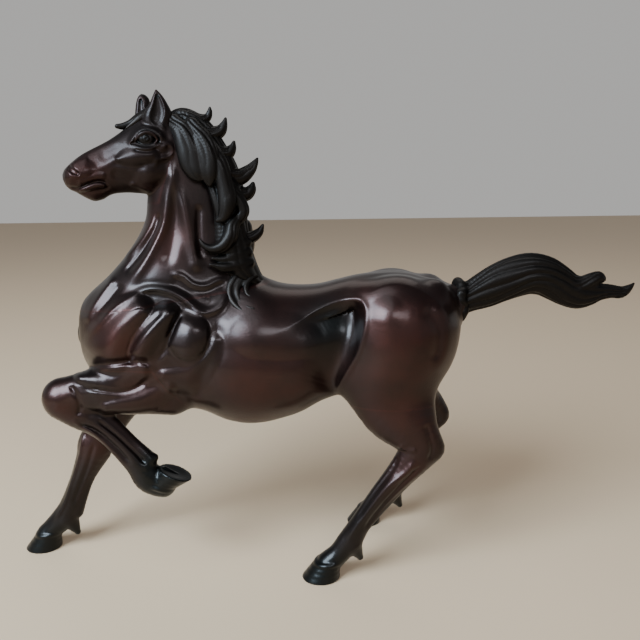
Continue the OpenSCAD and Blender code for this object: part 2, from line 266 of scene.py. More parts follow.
# Upper and lower lid, then the left and right ear: its leaf and the hollow in it. Head's own frame.
LIDS = [
    [(20.8, 12.1, 255.1, 0.5), (18.2, 13.7, 258.7, 0.9), (14.3, 14.6, 260.4, 1.0), (10.8, 14.8, 259.3, 0.9),
     (8.7, 14.6, 256.6, 0.6)],
    [(20.8, 12.1, 254.9, 0.4), (17.4, 13.8, 253.7, 0.7), (14, 14.7, 253.1, 0.8), (10.8, 14.9, 254, 0.7),
     (8.7, 14.6, 256.2, 0.5)],
]
EARS = [
    ([(7.2, -6.6, 262, 8.4, 5), (6.8, -7.6, 268, 8, 4.8), (6.3, -8.2, 272.8, 5.7, 3.8),
      (6.5, -8, 278.2, 3.2, 2.5), (7.1, -7.6, 282.7, 0.7, 0.7)],
     [(8.6, -13.3, 268, 4.2, 2.9), (7.4, -12.7, 271.8, 3.9, 2.8), (6.9, -11.4, 276, 2.5, 2.0),
      (7, -9.7, 280.2, 0.8, 0.8)]),
    ([(10.8, 7.6, 264, 6.6, 4.6), (12.2, 9, 269, 5.9, 4), (13.2, 10.6, 274, 4.3, 3.2),
      (12.8, 11.2, 278.6, 3.6, 2.6), (13.4, 11.6, 282.0, 0.8, 0.8)],
     [(15.6, 4.8, 270.8, 2.4, 2.2), (15.2, 6.2, 273.8, 2.1, 2.0), (14.8, 8.0, 277.0, 1.4, 1.3),
      (14.2, 9.4, 279.2, 0.6, 0.6)]),
]
# Legs, from the body down: x, y, z, radius, side radius
LEFT_FORE = [
    (-84, -17, 111, 11.8, 10.6), (-98, -19.5, 113.8, 12.6, 12.2), (-118, -22, 116, 12.6, 11.6),
    (-134, -22.5, 115.4, 11.2, 10.6), (-145, -22.5, 112.4, 11.4, 10.6),
]
LEFT_CANNON = [
    (-145.5, -22.5, 110, 11.2, 10.2), (-137.5, -22.3, 103.8, 10.2, 9), (-124.4, -22, 94.2, 8, 7.2),
    (-112.8, -22, 81.6, 7.5, 6.6), (-104.4, -22, 69.6, 8, 7), (-99.6, -22, 62, 9, 7.6),
    (-94.4, -22, 57.6, 7.6, 6.8), (-91, -22, 56.6, 7.2, 7),
]
RIGHT_FORE = [
    (-110, 18, 118, 18, 12), (-119.4, 18.5, 107, 17, 12.5), (-128.6, 18.5, 94, 14.4, 11.5),
    (-136.6, 17, 80, 12.2, 10.6), (-143.8, 14.6, 64, 9.7, 9), (-151, 12.4, 49, 7, 6.8),
    (-155.6, 11, 39, 6.3, 6.2), (-160.2, 10, 28.5, 6.6, 6.4), (-164.6, 9.6, 20.5, 7.6, 6.8),
    (-171.6, 9.2, 13.6, 6.8, 6.6), (-176, 9, 9, 7, 7.2),
]
LEFT_HIND = [
    (42.6, -17, 126, 28.6, 16), (47.2, -22, 106, 22.6, 13), (54.8, -25.6, 93.5, 15.9, 10.6),
    (60.6, -27, 83.6, 11.8, 9), (57.6, -27.5, 75, 10.6, 8.2), (48.6, -28, 64, 8.2, 7),
    (38, -28.5, 51.4, 6.6, 6), (27, -29, 36.6, 5.5, 5.2), (19.4, -29.3, 23, 7, 6.2),
    (13.2, -29.6, 15, 6.4, 6.2), (6.6, -29.9, 9, 6.8, 7.2),
]
RIGHT_HIND = [
    (46, 17, 126, 28, 16), (57, 23, 106, 19.5, 13), (66.6, 27.6, 93.5, 13.8, 10.4),
    (73.6, 30, 84, 11, 9), (72.6, 31.2, 75, 9.8, 8), (68.6, 32.4, 64, 8, 7),
    (63.4, 33.8, 51.4, 6.4, 6), (56.8, 35.6, 36.6, 5.4, 5.2), (50.6, 36.9, 23, 6.9, 6.2),
    (44, 37.5, 15, 6.4, 6.2), (36.4, 37.9, 9, 6.8, 7.2),
]
# Hooves: x and y of the sole's middle, half length, half width, x of the coronet's middle
HOOVES = {
    "right_fore": (-179.4, 9, 11.4, 10.4, -175.2),
    "left_hind": (2.0, -30, 11.5, 10.5, 6.2),
    "right_hind": (31.8, 38, 11.5, 10.5, 35.8),
}

# Relief, see relief(): kind, height, width of a line or cove, share it takes to rise, points
SHOULDER = [
    ("pad", 5.8, [(-115.2, 142, 15), (-111, 152.5, 14.2), (-103.5, 161, 13), (-96.4, 166, 10)]),
    ("pad", 5.4, [(-97.4, 141.6, 8.6), (-92, 151, 9), (-85.4, 158.6, 9.2), (-80, 163.6, 7.6)]),
    ("pad", 4.4, [(-69.4, 143.4, 13.4), (-66.2, 154, 12.8)]),
    ("pad", 2.2, [(-84, 127.6, 5), (-77, 125.6, 8.6), (-67.4, 127, 10.4), (-59.6, 135, 9),
                  (-55.6, 147, 6)]),
    ("line", -1.3, 1.6, 0.25, [(-103, 134), (-101.5, 143.6), (-96, 152), (-88.3, 159.8), (-82.3, 165)]),
    ("line", -1.3, 1.6, 0.25, [(-91, 134), (-83.7, 141.7), (-79.6, 149.9), (-76, 157.8), (-72.1, 163.8)]),
    ("line", -1.2, 1.7, [(-80.6, 146), (-79.1, 140.6), (-72.9, 135.7), (-63.6, 138.2), (-57.5, 147),
                         (-58, 157.6), (-62, 163)]),
    ("cove", 1.4, 4.4, [(-126, 148), (-119.7, 155.9), (-107, 167.8), (-91.2, 176.1), (-79.5, 175),
                        (-71.6, 170.8), (-65.2, 165.2), (-58.2, 162.8), (-51.6, 165.6), (-47.2, 171.6),
                        (-45.6, 178)]),
    ("line", 0.9, 2.1, [(-127, 148.6), (-119.7, 157), (-107, 168.8), (-91.2, 177), (-79.5, 176),
                        (-71.2, 172), (-65, 166.4), (-58.2, 164), (-52, 167), (-48.2, 172.6),
                        (-46.6, 178)]),
    ("line", -0.5, 1.8, [(-100, 176.6), (-90.6, 180), (-78.6, 179.4), (-69.4, 175), (-62.6, 169.4),
                         (-57.6, 168), (-53.4, 171)]),
    ("cove", 0.9, 3.0, [(-78, 185), (-71.2, 183.2), (-65.4, 178.6), (-58.8, 177.6), (-52.6, 180.2),
                        (-47, 182.2)]),
    ("line", 0.8, 1.6, [(-78, 185.4), (-71.2, 184), (-65.2, 179.4), (-58.8, 178.4), (-52.6, 181),
                        (-46, 183)]),
    ("line", -1.9, 4.4, [(-53.4, 160), (-53.9, 150), (-55.6, 141), (-60.7, 131.8), (-63.8, 124.4),
                         (-65.6, 112)]),
]
FOREARM = [
    ("line", 0.8, 1.9, [(-131, 131), (-125.8, 132.4), (-117.8, 131.6), (-110, 132.2), (-102.8, 133.4),
                        (-96, 133.2), (-92.6, 132)]),
    ("line", 0.8, 2.4, [(-95, 135.6), (-87.7, 126.6), (-80, 117.6)]),
    ("line", -1.6, 2.2, [(-125, 135.8), (-113.3, 135.5), (-102.7, 137), (-90, 136)]),
    ("pad", 2.6, [(-131, 127.2, 4.4), (-119, 127, 7.8), (-108, 127, 8.6), (-97.4, 130, 6.4)]),
    ("line", 0.5, 1.8, [(-138, 123.4), (-128.6, 122.6), (-118.4, 121), (-109.7, 120), (-100.8, 122.4),
                        (-95.2, 127.6), (-93, 133)]),
    ("line", 0.5, 1.8, [(-130, 119.4), (-122, 118), (-110.9, 116.8), (-100.5, 119.8), (-91.5, 123.8),
                        (-84, 125)]),
    ("line", -1.0, 1.6, [(-130, 121.2), (-119, 119.6), (-109.7, 118.4), (-100.4, 121), (-93, 125.6)]),
    ("pad", 2.0, [(-118, 108.4, 5), (-103, 110.4, 8), (-91.1, 115.4, 8), (-82, 119.4, 5.6)]),
]
FLANK = [
    ("cove", 3.8, 8.0, 0.65, [(-32, 146), (-16.6, 153.4), (-7.6, 158.2), (1.6, 164), (12, 168.2),
                              (20.4, 169.8), (28, 170)]),
    ("cove", 4.8, 8.6, [(24, 172), (28, 166.4), (28.4, 161), (28, 155.5), (26.2, 147.6), (23.2, 138.4),
                        (18.8, 130.4), (14.2, 121.6), (11.6, 113)]),
    ("line", 0.7, 1.9, 0.4, [(-14, 154.6), (-7.6, 158.2), (1.6, 164.4), (13.2, 169.2), (20.8, 170.4),
                             (26.2, 168.2), (28.9, 163.3), (28.7, 155.4), (26.9, 147.4), (23.9, 138),
                             (19.6, 130), (14.8, 121.2), (12.4, 113)]),
    ("pad", 1.7, [(-32, 147, 15), (-18, 148, 17), (-6, 147, 12)]),
    ("pad", 2.0, [(-42, 122, 22), (-24, 118, 24), (-8, 122, 17)]),
    ("pad", 3.0, [(43, 157, 16), (50, 144, 28), (47, 128, 24)]),
    ("cove", 1.0, 5.0, [(75.6, 150), (73.4, 160.6), (66.8, 168.4), (56.8, 175), (46.7, 177.8),
                        (38.2, 176.8), (28, 171.6)]),
    ("line", 0.9, 3.4, [(64.4, 167.6), (70.4, 161.6), (74, 153.6), (74, 142.6), (71, 133.4), (66.6, 126)]),
    ("line", -1.0, 2.8, [(60, 165), (65.6, 158.6), (68.6, 150), (68.4, 141.6), (65.6, 133)]),
]
THROAT = [
    ("line", 2.1, 3.2, [(-76.6, 248), (-77.2, 236), (-79.2, 226.7), (-81.8, 214.9), (-86, 205.4),
                        (-92, 194.5), (-98.6, 185), (-108, 174)]),
    ("line", 1.7, 3.4, [(-77, 248), (-75, 234), (-72.6, 224), (-70.1, 214.9), (-68, 203), (-66, 190),
                        (-66, 182)]),
    ("line", -1.5, 3.8, [(-75.6, 248), (-75.6, 234), (-76, 222), (-76.8, 214), (-78, 205), (-80.6, 194.5),
                         (-84, 185)]),
    ("line", 1.3, 2.0, 0.5, [(-87.6, 218), (-89.4, 212), (-94.4, 204.2), (-100, 198), (-108, 190)]),
    ("line", -1.6, 1.8, [(-84.6, 218), (-87, 209), (-92, 200.4), (-99, 191), (-108, 182)]),
    ("line", 1.8, 2.2, [(-112, 182), (-120, 173), (-127, 163), (-131, 154)]),
    ("line", -1.6, 2.0, [(-108, 178), (-115, 170), (-121, 162), (-125, 154)]),
    ("line", -1.4, 2.0, [(-62.6, 222), (-63.4, 212), (-63.6, 202), (-63.2, 190)]),
]
FACE = [
    ("pad", 2.8, [(5.6, 235.8, 9.8), (12, 236, 9.8)]),
    ("pad", 1.8, [(29.4, 246.4, 2.6), (25, 247.4, 5.0), (19.4, 248, 6.2), (12.6, 248, 5.2)]),
    ("line", -0.5, 1.9, [(32.6, 245.6), (26.5, 242.6), (21.3, 241.9), (14.6, 242.4)]),
    ("line", 1.3, 1.5, [(8.6, 250.6), (5.6, 252.8), (3.1, 254.2), (0.8, 252.6), (0.4, 249.6), (3.2, 247.2),
                        (7.3, 246.3), (10, 244.7), (11.7, 240.4)]),
    ("line", -1.3, 1.4, [(-1.6, 264), (-1.6, 260.3), (-1.2, 253.7), (-0.9, 245.6), (-1.5, 240.2),
                         (-3.7, 236), (-4, 231)]),
    ("dip", 1.3, [(19.4, 255.7, 2.6), (14.4, 256.9, 4.8), (9.4, 256.4, 3)]),
    ("dip", 1.1, [(22.2, 254.5, 1.1), (19.6, 255.5, 1.6)]),
    ("line", 1.6, 1.6, [(23.8, 252), (22, 256), (19.6, 259.5), (16.9, 261.5), (13.5, 262.3), (10.1, 261.3),
                        (6.9, 258.5), (5, 254.4)]),
    ("line", 0.6, 0.9, [(22, 253.2), (16.8, 251.7), (12.8, 251.8), (9.2, 253.2), (6, 254.8)]),
    ("line", -0.8, 0.9, [(22.6, 251.6), (16.8, 250.3), (12.6, 250.4), (8, 252)]),
    ("dip", 1.1, [(8.4, 265.4, 3.6), (13.4, 266, 3.8)]),
    ("line", 0.9, 1.2, [(16.6, 268), (12.6, 270), (9.9, 269.6), (6.8, 265.6), (3, 260.8)]),
    ("dip", 0.45, [(30, 251.4, 4.6), (36, 248.4, 4.8)]),
    ("pad", 1.5, [(47.6, 240.8, 6.8), (53.0, 240.2, 7.2)]),
    ("dip", 1.5, [(51.4, 239.0, 1.6), (53.6, 240.2, 2.3), (55.4, 242.6, 1.9)]),
    ("line", 0.4, 1.6, [(54, 244.6), (50, 246), (45, 247)]),
    ("line", 0.5, 1.9, [(44, 239.4), (36.9, 243), (34.2, 245), (29.6, 247.8)]),
    ("line", -1.0, 0.9, [(59, 232), (53.9, 231.5), (51.4, 231.3), (47.4, 232.9), (44.1, 234.2),
                         (41.4, 234.8), (38.5, 234.4), (34.6, 231.2)]),
    ("pad", 1.0, [(50, 230, 1.6), (46.9, 231, 2.3), (42.3, 232.2, 2.5), (38.4, 232.4, 1.8)]),
    ("line", -0.6, 0.9, [(52.6, 228.8), (46.9, 229.1), (42.3, 229.8), (37.6, 230.6), (34.6, 232)]),
    ("pad", 0.9, [(50, 235, 3), (44, 237, 3.4), (39, 237.6, 2.8)]),
    ("line", 0.8, 1.3, [(25, 233.4), (21.6, 232.4), (18.4, 230.6), (15.1, 229.2), (9, 228.6)]),
    ("dip", 0.8, [(24, 236.6, 4.4), (31, 238.2, 4)]),
]


# ---------------------------------------------------------------- the horse's forms
def torso(P):
    """Barrel, then the breast, and haunch, thigh, buttock, shoulder and point of shoulder twice."""
    x, y, z = P.T
    top, low, half = cubic(x, BARREL)
    v = (z - 0.5 * (top + low)) / (0.5 * (top - low))
    u = y / half
    g = (np.abs(u) ** 2.25 + np.abs(v) ** 2.25) ** (1 / 2.25) + 1e-6
    d = (g - 1.0) / g * np.hypot(y, z - 0.5 * (top + low))
    d = np.maximum(d, np.maximum(-139.6 - x, x - 89.0))
    d = smin(d, ball(P, (-111, 0, 147), (25, 26, 26)), 10)
    A = P.copy()
    A[:, 1] = np.abs(y)
    for centre, radii, turn, fillet in (
        ((49, 16.5, 146), (31.5, 20, 34.5), -12, 8),
        ((42, 17.5, 128), (27, 18.6, 30), 24, 8),
        ((67.2, 11, 145), (17, 16, 32), 6, 7),
        ((-88, 16, 148), (30, 18.4, 25), 0, 8),
        ((-108, 13, 146), (18, 15, 21), 0, 6),
    ):
        d = smin(d, ball(A, centre, radii, turn), fillet)
    return d


def neck(P):
    x, y, z = P.T
    front, back, half = cubic(z, NECK)
    c, h = 0.5 * (front + back), 0.5 * (back - front)
    # fuller at the front, thin along the crest
    s = (x - c) / h
    wide = half * (1.0 - 0.22 * np.clip(s, -1, 1.2))
    g = np.sqrt(s**2 + (y / wide) ** 2) + 1e-6
    d = (g - 1.0) / g * np.hypot(x - c, y)
    return np.maximum(d, np.maximum(148 - z, z - 268))


def to_head(P):
    """Points as the head sees them: forward of the poll, sideways, up."""
    c, s = math.cos(TURN), math.sin(TURN)
    x, y = P[:, 0] + 80.0, P[:, 1]
    return np.stack([-(x * c + y * s), -x * s + y * c, P[:, 2]], 1).astype(np.float32)


def ear(Q, leaf, cup):
    """A leaf-shaped ear with its hollow cut into it."""
    return smax(tube(Q, leaf), -tube(Q, cup), 0.7)


def head(P):
    Q = to_head(P)
    f, v, w = Q.T
    top, low, half = cubic(f, SKULL)
    c, h = 0.5 * (top + low), 0.5 * (top - low)
    s = (w - c) / h
    wide = half * (1.0 - 0.16 * np.abs(np.clip(s, -1.2, 1.2)) ** 1.5)
    g = (np.abs(s) ** 2.1 + np.abs(v / wide) ** 2.1) ** (1 / 2.1) + 1e-6
    d = (g - 1.0) / g * np.hypot(v, w - c)
    d = np.maximum(d, np.maximum(-6.5 - f, f - 59.3))
    close = np.abs(d) < 9
    if close.any():
        d[close] -= relief(f[close], w[close], FACE) * ramp(np.abs(v[close]), 1.2, 6.0)
    A = Q.copy()
    A[:, 1] = np.abs(v)
    # groove between the jaw bones
    d = smax(d, -ball(Q, (22, 0, 225), (15, 4.4, 3.6)), 1.5)
    # eyeball with a ring and a dot cut in it, and the lids
    eye = ball(A, (14.3, 12.3, 256.9), (4.4, 3.4, 3.7))
    off = np.hypot(f - 14.5, w - 257.1)
    ring, dot = 0.4 * np.exp(-(((off - 1.9) / 0.35) ** 2)), 0.45 * np.exp(-((off / 0.6) ** 2))
    d = smin(d, eye + np.where(np.abs(v) > 13, ring + dot, 0.0), 0.3)
    for lid in LIDS:
        d = smin(d, tube(A, lid), 0.5)
    for leaf, cup in EARS:
        d = smin(d, ear(Q, leaf, cup), 1.8)
    return d


def hoof(P, spec):
    """A hoof that stands on z = 0, from a row of HOOVES."""
    cx, cy, a, b, tx = spec
    x, y, z = P.T
    t = np.clip(z / 10.5, 0.0, 1.0)
    mx = cx + (tx - cx) * t
    ra = a + (7.6 - a) * t
    rb = b + (7.6 - b) * t
    g = np.sqrt(((x - mx) / ra) ** 2 + ((y - cy) / rb) ** 2) + 1e-6
    d = (g - 1.0) / g * np.hypot(x - mx, y - cy)
    d = smax(d, z - 10.8, 1.6)
    # growth rings, and the welt of the coronet
    d = d + 0.05 * np.cos(z * 2.1) * ramp(z, 1.0, 3.0)
    welt = np.hypot(np.hypot(x - tx, y - cy) - 7.0, z - 10.4 - 0.10 * (x - tx)) - 1.3
    d = smin(d, welt, 0.7)
    return np.maximum(d, -z)


def spur(P, a, b, r):
    """The tuft at the back of a fetlock, tapering from a to b."""
    return tube(P, [(*a, r + 0.8), (*b, 1.9)], 1)


def left_fore(P):
    """The lifted foreleg, folded at the knee."""
    d = smin(tube(P, LEFT_FORE), tube(P, LEFT_CANNON), 3.0)
    # knee cap, and the tendon that stands off the back of the cannon
    d = smin(d, ball(P, (-146.8, -22.6, 113.2), (10, 9.6, 9.8)), 2.5)
    d = smin(d, tube(P, [(-133, -22.3, 107.6, 4), (-120, -22, 98.6, 3.2), (-108, -22, 85.4, 2.8),
                         (-98.4, -22, 73.4, 4.4)]), 1.4)
    d = smin(d, spur(P, (-99.8, -22, 70.8), (-95, -22, 74.4), 5.2), 1.6)
    # hoof: sole turned up and back
    c, s = math.cos(math.radians(203)), math.sin(math.radians(203))
    v = P - np.array([-82.6, -22, 64.4], np.float32)
    local = np.stack([v[:, 0] * c - v[:, 2] * s, -v[:, 1], v[:, 0] * s + v[:, 2] * c], 1)
    sole = hoof(local, (0.6, 0, 10.2, 9.2, 6.2))
    d = smin(d, sole, 1.6)
    d = smax(d, -ball(local, (1.0, 0, -0.5), (7.4, 6.6, 0.95)), 0.5)
    d = smin(d, tube(local, [(7.4, 0, 0.6, 1.7), (-0.6, 0, 0.9, 0.7)], 1), 0.5)
    marks = [
        ("line", -1.2, 1.3, [(-140, 97), (-128, 92.4), (-117, 82), (-108, 70)]),
        ("line", 0.8, 1.2, [(-143, 99.6), (-130, 90.6), (-120.6, 80.6), (-111, 68)]),
        ("line", -1.3, 1.2, [(-128, 99.6), (-117, 90), (-106, 78), (-100, 70)]),
        ("line", -1.0, 1.5, [(-141, 121), (-137.6, 114), (-136, 107), (-138, 101)]),
    ]
    return add_relief(P, d, (), marks, depth=-24.0)


def standing(P, d, s, middle, marks):
    """Relief on both sides of a standing leg, read at s, and the sole cut flat."""
    y, z = P[:, 1], P[:, 2]
    close = np.abs(d) < 8
    if close.any():
        d[close] -= relief(s[close], z[close], marks) * ramp(np.abs(y[close] - middle), 1.0, 6.0)
    return np.maximum(d, -z)


def right_fore(P):
    d = tube(P, RIGHT_FORE)
    d = smin(d, ball(P, (-142.6, 15, 68), (10.2, 9.2, 10)), 3.0)
    d = smin(d, tube(P, [(-138, 15, 62, 5), (-146, 12.6, 48, 3.2), (-151, 11, 36, 3),
                         (-156.6, 10, 24, 4.6)]), 1.6)
    d = smin(d, spur(P, (-161.6, 9.6, 19.6), (-156.8, 9.6, 9.6), 5.8), 1.6)
    d = smin(d, hoof(P, HOOVES["right_fore"]), 1.5)
    marks = [("line", 0.9, 1.3, [(-146, 84), (-149.6, 66), (-156, 48), (-162, 32), (-170, 19)]),
             ("line", -1.0, 1.5, [(-139, 74), (-145, 58), (-152, 42), (-157, 30)])]
    return standing(P, d, P[:, 0], 13, marks)


def hind(P, rows, spec, shift):
    """A hind leg. shift(z) is how far it stands behind the left one at each height."""
    d = tube(P, rows)
    (x0, y0), point = rows[3][:2], rows[4]
    # point of the hock and the cord above it
    d = smin(d, tube(P, [(x0 + 3.4, y0, 93, 4.6), (x0 + 6.6, y0, 86.6, 5.4), (x0 + 8.8, y0, 79.4, 5.7),
                         (x0 + 3.6, y0, 73, 4.6)]), 2.0)
    # tendon behind the cannon
    a, b, c = rows[5], rows[7], rows[8]
    d = smin(d, tube(P, [(point[0] + 5, point[1], 71, 3.6), (a[0] + 5.2, a[1], 60.6, 2.8),
                         (b[0] + 4.4, b[1], 35, 2.7), (c[0] + 3.4, c[1], 23.4, 4.4)]), 1.4)
    d = smin(d, spur(P, (c[0] + 1.8, c[1], c[2] - 2.6), (c[0] + 6.4, c[1], c[2] - 11), 5.4), 1.6)
    d = smin(d, hoof(P, spec), 1.5)
    marks = [
        ("line", 1.3, 1.9, [(58, 78), (52, 69), (42, 60.4), (34, 50.6), (24, 36), (17, 25)]),
        ("line", -1.1, 1.3, [(62, 74), (53, 64.6), (44, 54.4), (35, 43), (27, 31)]),
        ("line", -0.9, 1.2, [(47, 80), (46, 72), (38, 60), (30, 48), (23, 37)]),
        ("line", -1.1, 1.6, [(62.6, 98), (65, 90), (66.6, 82), (64.4, 74.6)]),
        ("line", 0.8, 1.4, [(47, 84.6), (52.6, 81.6), (58, 83)]),
    ]
    return standing(P, d, P[:, 0] - shift(P[:, 2]), y0, marks)


def left_hind(P):
    return hind(P, LEFT_HIND, HOOVES["left_hind"], lambda z: 0.0 * z)


def right_hind(P):
    def shift(z):
        return np.interp(z, [0, 20, 40, 60, 80, 100, 130], [31, 31, 29, 21, 13.5, 8, 2]).astype(np.float32)

    return hind(P, RIGHT_HIND, HOOVES["right_hind"], shift)


def bare_neck(P):
    return add_relief(P, neck(P), THROAT, depth=-17.0)


def flesh(P):
    """The whole smooth animal, without its hair."""
    d = near(P, (-160, -60, 70), (110, 60, 200), torso)
    d = smin(d, near(P, (-160, -50, 135), (0, 50, 290), bare_neck), 7)
    d = add_relief(P, d, SHOULDER + FLANK)
    d = smin(d, near(P, (-180, -60, 30), (-50, 10, 150), left_fore), 5)
    d = add_relief(P, d, (), FOREARM)
    d = smin(d, near(P, (-210, -20, -20), (-75, 60, 155), right_fore), 6)
    d = smin(d, near(P, (-30, -65, -20), (105, 20, 175), left_hind), 7)
    d = smin(d, near(P, (0, -20, -20), (120, 70, 175), right_hind), 7)
    d = smin(d, near(P, (-165, -60, 205), (-50, 45, 300), head), 2.2)
    return d


# ---------------------------------------------------------------- hair
# Strings of balls: x, y, z, radius, side radius
TAIL = [
    (78, 0, 161, 9, 8.6), (86, 0, 162.6, 8.8, 8.4), (93.5, 0, 165, 8.8, 8), (102, 0, 168.6, 10.4, 8.4),
    (110, 0, 172.6, 11.4, 8.8), (119, 0, 176.2, 12, 9), (127.6, 0, 178, 12, 9),
    (136, 0, 176.6, 11.6, 8.6), (143.4, 0, 172.6, 10.8, 8.2), (150, 0, 168.4, 9.8, 7.8),
    (156.6, 0, 166, 9.2, 7.2), (162.6, 0, 165.8, 7.4, 6.2), (169, 0, 166.4, 5, 4.8),
    (176, 0, 166.6, 3.8, 3.6), (182.6, 0, 166, 3.2, 2.8), (187, 0, 168.4, 2, 1.8),
    (189.7, 0, 171, 0.7, 0.7),
]
TAIL_TUFT = [(152, -1, 170, 6.4, 6), (158, -2, 171.2, 5.2, 5), (163, -2.6, 173.6, 4.6, 4.2),
             (167, -2.6, 175.4, 3.6, 3.2), (169.6, -2.4, 174.6, 2.4, 2.2)]
CREST = [
    (-77, 0, 266.4, 6, 6), (-71, -1, 266.8, 7.2, 7), (-63.2, -2, 260.2, 8.8, 7.4),
    (-57.6, -2, 249.6, 9.8, 8), (-52, -3, 237, 10.6, 9), (-49.4, -3, 222, 11, 10),
    (-48.4, -3.4, 207, 10.8, 12), (-46.8, -3.6, 194, 11, 14.6), (-42.6, -3, 184, 9.6, 15),
    (-35, -2, 177, 5, 12), (-29, -1, 173.6, 2.4, 7),
]
# Locks: lengthwise strands, groove depth, twist, then the string of balls
LOCKS = [
    (6, 0.6, 0.05, [(-76, -7, 266, 4.6, 4.2), (-70.4, -11, 259.6, 6.2, 4.2), (-67.6, -13.2, 251, 7, 4),
                    (-66.2, -14.4, 244, 6.4, 3.8), (-63.6, -15.4, 238.4, 4.4, 3),
                    (-60.2, -15.8, 235.4, 1.4, 1.2)]),
    (6, 0.6, 0.04, [(-66, -8.6, 264, 4.6, 4.2), (-60, -12, 255, 6.2, 4.4), (-57.2, -14, 246, 6.2, 4.4),
                    (-56.4, -15.2, 238.4, 5, 3.8), (-56.4, -15.8, 232.8, 2, 1.8)]),
    (4, 0.4, -0.04, [(-58, -9, 254, 4.6, 4.4), (-51.6, -12, 243, 5.4, 4.6), (-48.6, -14, 232, 4.8, 4.2),
                     (-47.2, -15.4, 222, 5, 4.4), (-49.4, -16.4, 214.6, 3.2, 2.8),
                     (-53, -17, 212.4, 1.2, 1)]),
    (4, 0.4, 0.03, [(-56, -11, 232, 2.6, 3.4), (-53.6, -13, 224, 2.9, 3.2), (-52.6, -14.4, 217, 2.2, 2.4),
                    (-53.4, -15, 212.4, 0.9, 0.9)]),
    (4, 0.4, 0.05, [(-47, -10, 231, 4.6, 4.6), (-41.6, -10.6, 223.6, 3.8, 4.4),
                    (-39.2, -11, 217, 3.6, 4.2), (-42.6, -12.6, 212.6, 3, 3.4), (-48, -15, 211.6, 2, 2.2),
                    (-52.6, -16.6, 213.4, 0.9, 0.9)]),
    (5, 0.45, 0.05, [(-41.6, -10.6, 214.4, 3.2, 3.6), (-45, -15, 209.4, 4, 3.8),
                     (-46.4, -17.4, 203.4, 4.2, 3.8), (-50.4, -19, 198.4, 3.6, 3.4),
                     (-56, -20, 197, 2.6, 2.4), (-60.6, -20.4, 199.2, 1.6, 1.4),
                     (-62.6, -20.4, 202.2, 0.7, 0.7)]),
    (3, 0.3, 0.0, [(-38.6, -7, 199, 3.4, 4), (-43, -11.6, 197.6, 3.4, 3.4), (-49, -15.6, 195.4, 2.6, 2.4),
                   (-54, -17.6, 195.8, 1, 1)]),
    (3, 0.3, 0.0, [(-38, -9, 193.6, 3.4, 4), (-43, -13.6, 192.4, 3.4, 3.2),
                   (-49.6, -17.4, 190.6, 2.8, 2.4), (-56, -20, 191.6, 1, 1)]),
    (3, 0.3, 0.0, [(-37, -10, 188, 3.4, 4), (-43, -15, 186.8, 3.4, 3.2), (-50, -19.4, 186.4, 2.8, 2.4),
                   (-57, -22, 188.4, 1, 1)]),
    # the far side
    (6, 0.45, 0.04, [(-74, 6, 267, 4, 4), (-66, 9.6, 259, 6.4, 4.6), (-61, 12, 248, 7, 4.6),
                     (-58.6, 13.6, 237, 6, 4.2), (-59.4, 14.4, 229, 2.4, 2)]),
    (6, 0.45, 0.04, [(-62, 8, 258, 5, 4.4), (-54, 11, 245, 7, 4.8), (-51.6, 13, 231, 7, 4.8),
                     (-53, 14.6, 219, 5, 3.8), (-58, 15.6, 212, 2, 1.8)]),
    (6, 0.45, -0.04, [(-50, 8, 230, 5.6, 5), (-46, 11.6, 218, 6.6, 5), (-47, 14.6, 206, 6.4, 4.8),
                      (-51.6, 18, 196.6, 4.6, 3.8), (-57.6, 19.6, 192.4, 2, 1.8)]),
    (6, 0.45, 0.04, [(-42, 9, 206, 6, 6), (-42.6, 14, 195, 7, 5.4), (-45.4, 19, 185.6, 5.2, 4.4),
                     (-51, 22, 181.4, 2.2, 2)]),
]
FLYING = [
    (5, 0.35, 0.05, [(-68, -3, 268.6, 4.2, 4.2), (-62.4, -2.6, 267.4, 3.4, 3.4),
                     (-58.4, -2, 268.6, 2.3, 2.3), (-56.9, -2, 271.4, 1.6, 1.5),
                     (-56.6, -2, 274, 0.7, 0.7)]),
    (5, 0.45, 0.05, [(-64, -4, 262.4, 5.4, 5), (-57, -3.6, 259.6, 4.6, 4.2), (-51.6, -3, 261, 3.4, 3),
                     (-49.2, -2.6, 264.4, 2.1, 2), (-48, -2.4, 268, 0.8, 0.8)]),
    (5, 0.5, 0.05, [(-61, -6, 255.6, 5.8, 5), (-54.4, -5, 250.4, 5, 4.4), (-48.2, -4, 249, 3.9, 3.4),
                    (-45, -3.4, 251.6, 2.4, 2.1), (-43.7, -3, 255.2, 0.9, 0.9)]),
    (6, 0.55, 0.05, [(-57, -7, 246, 6.4, 5.4), (-50, -6, 238.4, 6, 5.2), (-42, -4.6, 235.8, 4.9, 4.2),
                     (-36, -3.4, 239, 3.4, 2.8), (-32.6, -2.6, 243, 2, 1.7), (-30.9, -2, 246, 0.7, 0.7)]),
    (5, 0.5, 0.05, [(-52, -7, 234, 6, 5), (-45, -6, 227.6, 5.2, 4.6), (-38.4, -4.6, 226.2, 4, 3.6),
                    (-35, -3.8, 228.6, 2.8, 2.4), (-33.7, -3.4, 232, 1.2, 1.1)]),
    (5, 0.45, 0.05, [(-51, -6, 205, 5, 4.6), (-43, -5, 202, 4.6, 4.2), (-36, -4, 201.6, 3.5, 3.2),
                     (-31.2, -3.2, 204.4, 2.4, 2.1), (-28.9, -3, 208.4, 0.9, 0.9)]),
]
